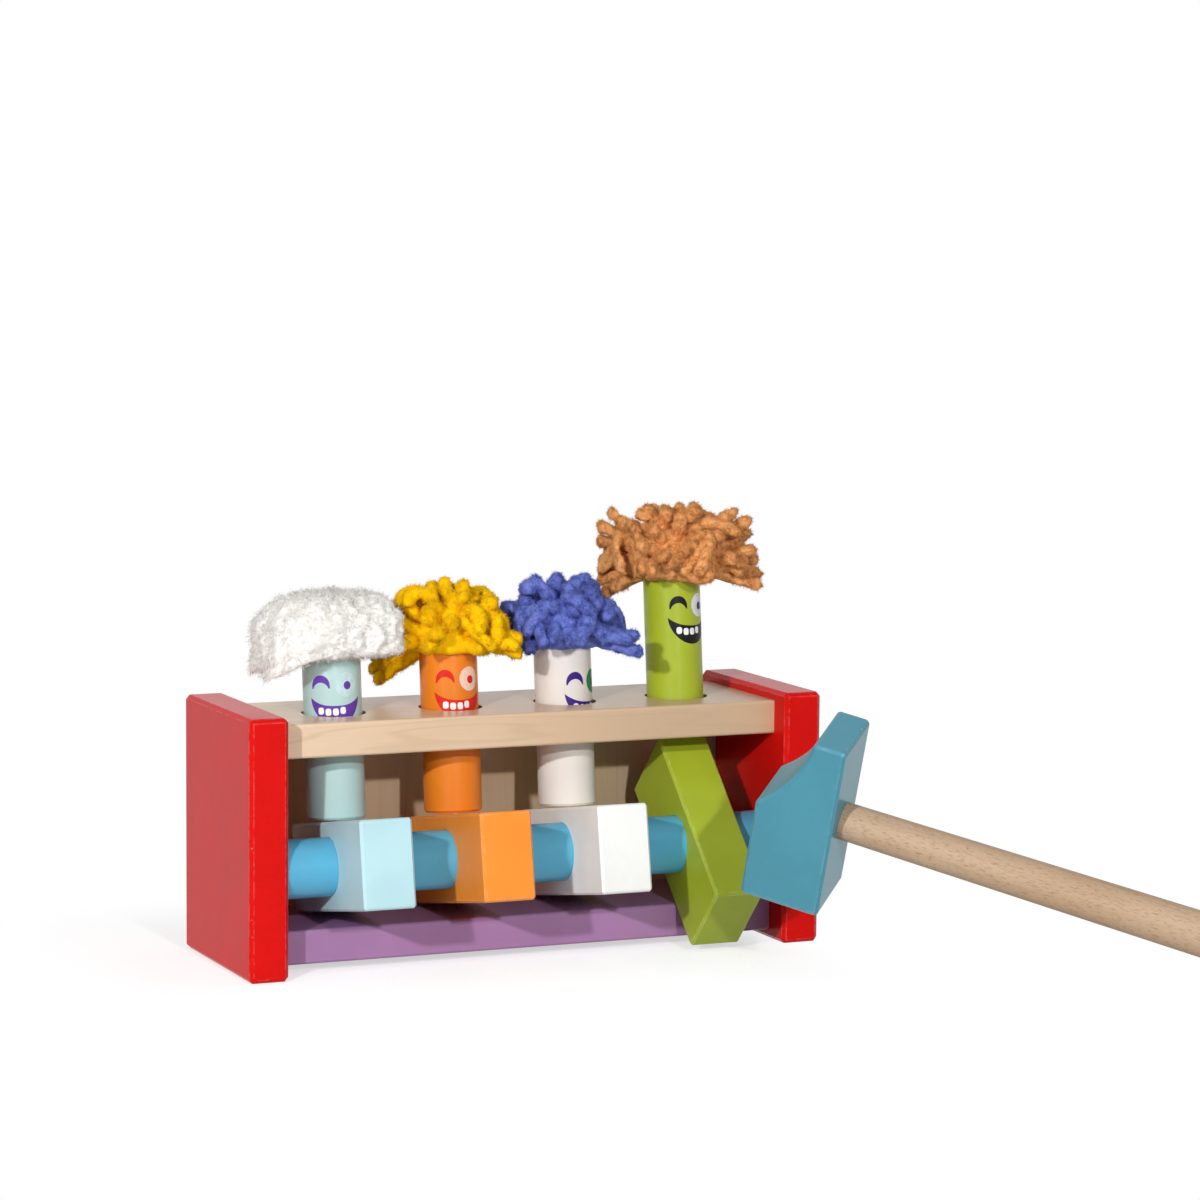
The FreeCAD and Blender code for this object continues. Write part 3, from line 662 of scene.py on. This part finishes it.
def scatter(count, chance, lowest):
    """Directions spread evenly over a dome, lightly shaken."""
    found = []
    for number in range(count):
        rise = lowest + (1 - lowest) * (number + 0.5) / count
        angle = number * GOLDEN_ANGLE + chance.uniform(-0.3, 0.3)
        flat = math.sqrt(max(0.0, 1 - rise * rise))
        found.append(Vector((flat * math.cos(angle), flat * math.sin(angle), rise)))
    return found


def lying_over(mop, root, direction):
    """Bends of a strand that leaves the crown high up and comes down along the mop's form."""
    chance = mop.chance
    down = Vector((direction.x, direction.y, direction.z - chance.uniform(0.15, 0.5)))
    sideways = direction.cross(Vector((0, 0, 1))) * chance.uniform(-0.7, 0.7)
    fallen = (direction + (down - direction) * 0.9 + sideways).normalized()
    tip = mop.outer(fallen, 0.2) * chance.uniform(0.93, 1.02)
    shoulder = mop.outer((direction + Vector((0, 0, 0.35))).normalized()) * chance.uniform(0.98, 1.12)
    crown = mop.outer((direction + Vector((0, 0, 0.9))).normalized()) * 0.85
    return root, crown, shoulder, tip


def standing_out(mop, root, direction):
    """Bends of a strand that rises and then leans outwards."""
    chance = mop.chance
    flatness = 1 - direction.z
    tip = mop.outer(direction) * chance.uniform(0.84, 1.05)
    tip.z -= flatness ** 2 * chance.uniform(0.0, 3.0)
    bend = shaken(chance, 3.4)
    rise = flatness * chance.uniform(8, 20)
    first_bend = root + Vector((tip.x * 0.12, tip.y * 0.12, rise * 0.62)) + bend * 0.5
    second_bend = root.lerp(tip, 0.72) + Vector((0, 0, rise * 0.42)) + bend
    return root, first_bend, second_bend, tip


def lock(mop, bearing, distance, height):
    """Bends of a single strand over the peg's rim, with its tip at a given place."""
    turn = math.radians(bearing)
    root = Vector((0, 0, 1))
    tip = Vector((distance * math.cos(turn), distance * math.sin(turn), height))
    rise = 5 + max(0.0, height) * 0.2
    first_bend = root + Vector((tip.x * 0.2, tip.y * 0.2, rise)) + shaken(mop.chance, 0.8)
    second_bend = root.lerp(tip, 0.72) + Vector((0, 0, 2.5)) + shaken(mop.chance, 1.0)
    return root, first_bend, second_bend, tip


def stranded_mop(colour, seed, size, squareness, strands, fibres, finish, locks):
    """Strands over a dome, a third of them lying over, then single locks.

    A lock is given by the bearing in degrees, the distance and the height of its tip.
    """
    mop = Mop(seed, size, squareness, MEETINGS[colour], cells=10)
    chance = mop.chance
    mop.heart(share=0.60, raised=2.5, lower=0.16, lumpy=0.9, around=48, bands=30)
    for direction in scatter(strands, chance, 0.02):
        root = Vector((chance.uniform(-3, 3), chance.uniform(-3, 3), 0.5))
        manner = lying_over if chance.random() < 0.33 else standing_out
        bends = manner(mop, root, direction)
        tip = bends[3]
        # no tip hangs over the printed face
        tip.z = max(tip.z, 3.4 if tip.y < 4 else 1.0)
        mop.strand(bends, STRAND_RADIUS * chance.uniform(0.84, 1.14), fibres)
    for tip_place in locks:
        mop.strand(lock(mop, *tip_place), STRAND_RADIUS * 0.86, fibres)
    mop.put_on_peg(colour, finish)


def brushed_mop(colour, finish):
    """The white mop, brushed out into one soft cloud that leans to the left."""
    mop = Mop(11, (29.0, 31.0, 22.0, 27.0, 19.5), 3.6, MEETINGS[colour], cells=1, sag=0.021)
    spots = mop.heart(share=0.97, raised=5.0, lower=0.20, lumpy=1.0, around=150, bands=76)
    for _ in range(50000):
        spot, direction, place = spots[mop.chance.randrange(len(spots))]
        mop.fibre(spot + shaken(mop.chance, 0.5), direction, place, 2.6)
    mop.put_on_peg(colour, finish)


YELLOW_LOCKS = (
    (131, 36, -10), (136, 33, -13), (142, 31, -8), (126, 36, -5), (134, 35, -2), (148, 29, -11),
    (128, 33, -14), (152, 28, -5), (160, 28, 0), (311, 34, 1), (319, 32, 6), (303, 34, 5), (327, 30, 0),
)
BLUE_LOCKS = ((309, 37, 0), (302, 33, 5), (214, 27, 1), (196, 26, -1), (316, 34, 6))
BROWN_LOCKS = (
    (347, 37, 1), (341, 36, -3), (352, 36, 6), (344, 34, 11), (357, 34, 17), (345, 32, 23), (5, 30, 26),
    (150, 27, -6), (142, 30, -8), (132, 33, -3), (126, 34, 4), (128, 35, 13), (134, 33, 20), (142, 28, 26),
)


def make_mops():
    # each yarn: its deep tone, partly painted shade, its bright tone, partly painted highlight, then its
    # halo's tint
    white = yarn_finish("white_yarn", srgb(248, 243, 237), srgb(253, 251, 248), srgb(255, 252, 246), 1.0)
    yellow = yarn_finish("yellow_yarn", srgb(255, 190, 2), srgb(255, 212, 14), srgb(255, 200, 40), 4.0)
    blue = yarn_finish("blue_yarn", srgb(52, 64, 144), srgb(122, 136, 212), srgb(110, 124, 200), 7.0)
    brown = yarn_finish("brown_yarn", srgb(168, 94, 38), srgb(244, 178, 114), srgb(226, 160, 100), 10.0)
    small = (26, 26, 25, 28, 27.5)
    large = (27, 33, 28, 34, 28.5)
    brushed_mop("white", white)
    stranded_mop("yellow", 23, small, 2.6, 54, 800, yellow, YELLOW_LOCKS)
    stranded_mop("blue", 37, small, 2.6, 54, 850, blue, BLUE_LOCKS)
    stranded_mop("brown", 52, large, 2.8, 56, 740, brown, BROWN_LOCKS)


# Hammer
def finish_hammer():
    turn = tuple(HANDLE_TURN.to_euler())
    give("hammer_handle", bare_wood("handle_beech", srgb(197, 169, 142), srgb(181, 149, 117),
                                    own_axes(HANDLE_START, turn), "X", lines=0.15, fleck=0.50, seed=30.0,
                                    rough=0.50, gloss=0.20))
    middle = HANDLE_START + HANDLE_TURN.to_3x3() @ HEAD_MIDDLE
    give("hammer_head", painted("head_paint", srgb(78, 150, 170), own_axes(middle, turn), "Z", HEAD_HALVES,
                                highlight_inset=1.1, edge_highlight=0.20, seed=60.0))


# Room, light and camera
# Shadows show on the floor over this middle and these half sizes in millimetres, and fade out beyond
SHADOW_MIDDLE = (0.080, 0.005, 0)
SHADOW_HALVES = (105, 45)
FADE_START, FADE_END = 4.0, 48.0


def set_the_floor():
    """A floor that shows soft shadows round the bench and is plain white further out."""
    bpy.ops.mesh.primitive_plane_add(size=12)
    floor = bpy.context.object
    floor.name = "floor"
    finish = Finish("floor_white", Base_Color=(0.65, 0.65, 0.65, 1), Roughness=0.9, Specular_IOR_Level=0.1,
                    Emission_Strength=1.0)
    seen = finish.seen_rays()
    finish.feed(Emission_Color=finish.mix(seen, (0, 0, 0, 1), (0.58, 0.58, 0.58, 1)))
    across, back, _ = finish.own_place(SHADOW_MIDDLE)
    beside = finish.largest(finish.size(across) - SHADOW_HALVES[0], 0)
    # to the front and the back they fade half as fast
    before = finish.largest(finish.size(back) - SHADOW_HALVES[1], 0) * 0.5
    away = finish.math("SQRT", beside * beside + before * before)
    fade = finish.step(away, FADE_START, FADE_END) * seen
    glow = finish.node("Emission", {"Color": (1, 1, 1, 1)})
    blend = finish.node("MixShader", {0: fade, 1: Amount(finish, finish.surface.outputs[0]), 2: glow})
    finish.tree.links.new(blend.socket, finish.output.inputs[0])
    floor.data.materials.append(finish.material)


def set_the_sky():
    """White where it is seen, and much weaker as a light."""
    world = bpy.data.worlds.new("studio")
    bpy.context.scene.world = world
    world.use_nodes = True
    sky = Shader(world.node_tree)
    background = sky.tree.nodes["Background"]
    background.inputs["Color"].default_value = (1, 1, 1, 1)
    strength = sky.node("MapRange", {"Value": sky.seen_rays(), "To Min": 0.22, "To Max": 1.0})
    sky.tree.links.new(strength.socket, background.inputs["Strength"])


def add_lamp(name, place, target, size, power):
    data = bpy.data.lights.new(name, "AREA")
    data.shape = "DISK"
    data.size = size
    data.energy = power
    lamp = bpy.data.objects.new(name, data)
    lamp.location = place
    lamp.rotation_mode = "QUATERNION"
    lamp.rotation_quaternion = (Vector(target) - Vector(place)).to_track_quat("-Z", "Y")
    bpy.context.scene.collection.objects.link(lamp)


# The photo's camera, fitted to the bench: its focal length is in pixels of a picture 1200 wide
CAMERA_PLACE = (-0.4921843, -1.4721906, 0.3133511)
FOCAL_PIXELS = 4097.12
PICTURE_WIDTH = 1200
SENSOR_WIDTH = 36.0
AZIMUTH, ELEVATION, ROLL = -0.4118058, 0.1104979, 0.0086718


def set_the_camera():
    data = bpy.data.cameras.new("camera")
    data.sensor_width = SENSOR_WIDTH
    data.sensor_fit = "HORIZONTAL"
    data.lens = SENSOR_WIDTH * FOCAL_PIXELS / PICTURE_WIDTH
    data.clip_start = 0.05
    data.clip_end = 50.0
    camera = bpy.data.objects.new("camera", data)
    back = Vector((math.sin(AZIMUTH) * math.cos(ELEVATION), -math.cos(AZIMUTH) * math.cos(ELEVATION),
                   math.sin(ELEVATION)))
    level = (-back).cross(Vector((0, 0, 1))).normalized()
    upright = level.cross(-back)
    right = level * math.cos(ROLL) + upright * math.sin(ROLL)
    up = upright * math.cos(ROLL) - level * math.sin(ROLL)
    turn = Matrix((right, up, back)).transposed()
    camera.matrix_world = Matrix.Translation(CAMERA_PLACE) @ turn.to_4x4()
    bpy.context.scene.collection.objects.link(camera)
    bpy.context.scene.camera = camera


finish_bench()
finish_levers_and_pegs()
for peg_colour in ROW:
    print_face(peg_colour)
make_mops()
finish_hammer()
set_the_floor()
set_the_sky()
BENCH_MIDDLE = (0.12, -0.02, 0.06)
add_lamp("front_lamp", (0.031, -1.709, 0.676), BENCH_MIDDLE, 0.06, 11.2)
add_lamp("left_lamp", (-1.089, -1.187, 0.705), BENCH_MIDDLE, 0.06, 16.6)
add_lamp("soft_lamp", (-0.9, -0.1, 1.3), (0.12, 0.0, 0.08), 0.9, 1.8)
set_the_camera()
bpy.context.scene.view_settings.view_transform = "Standard"
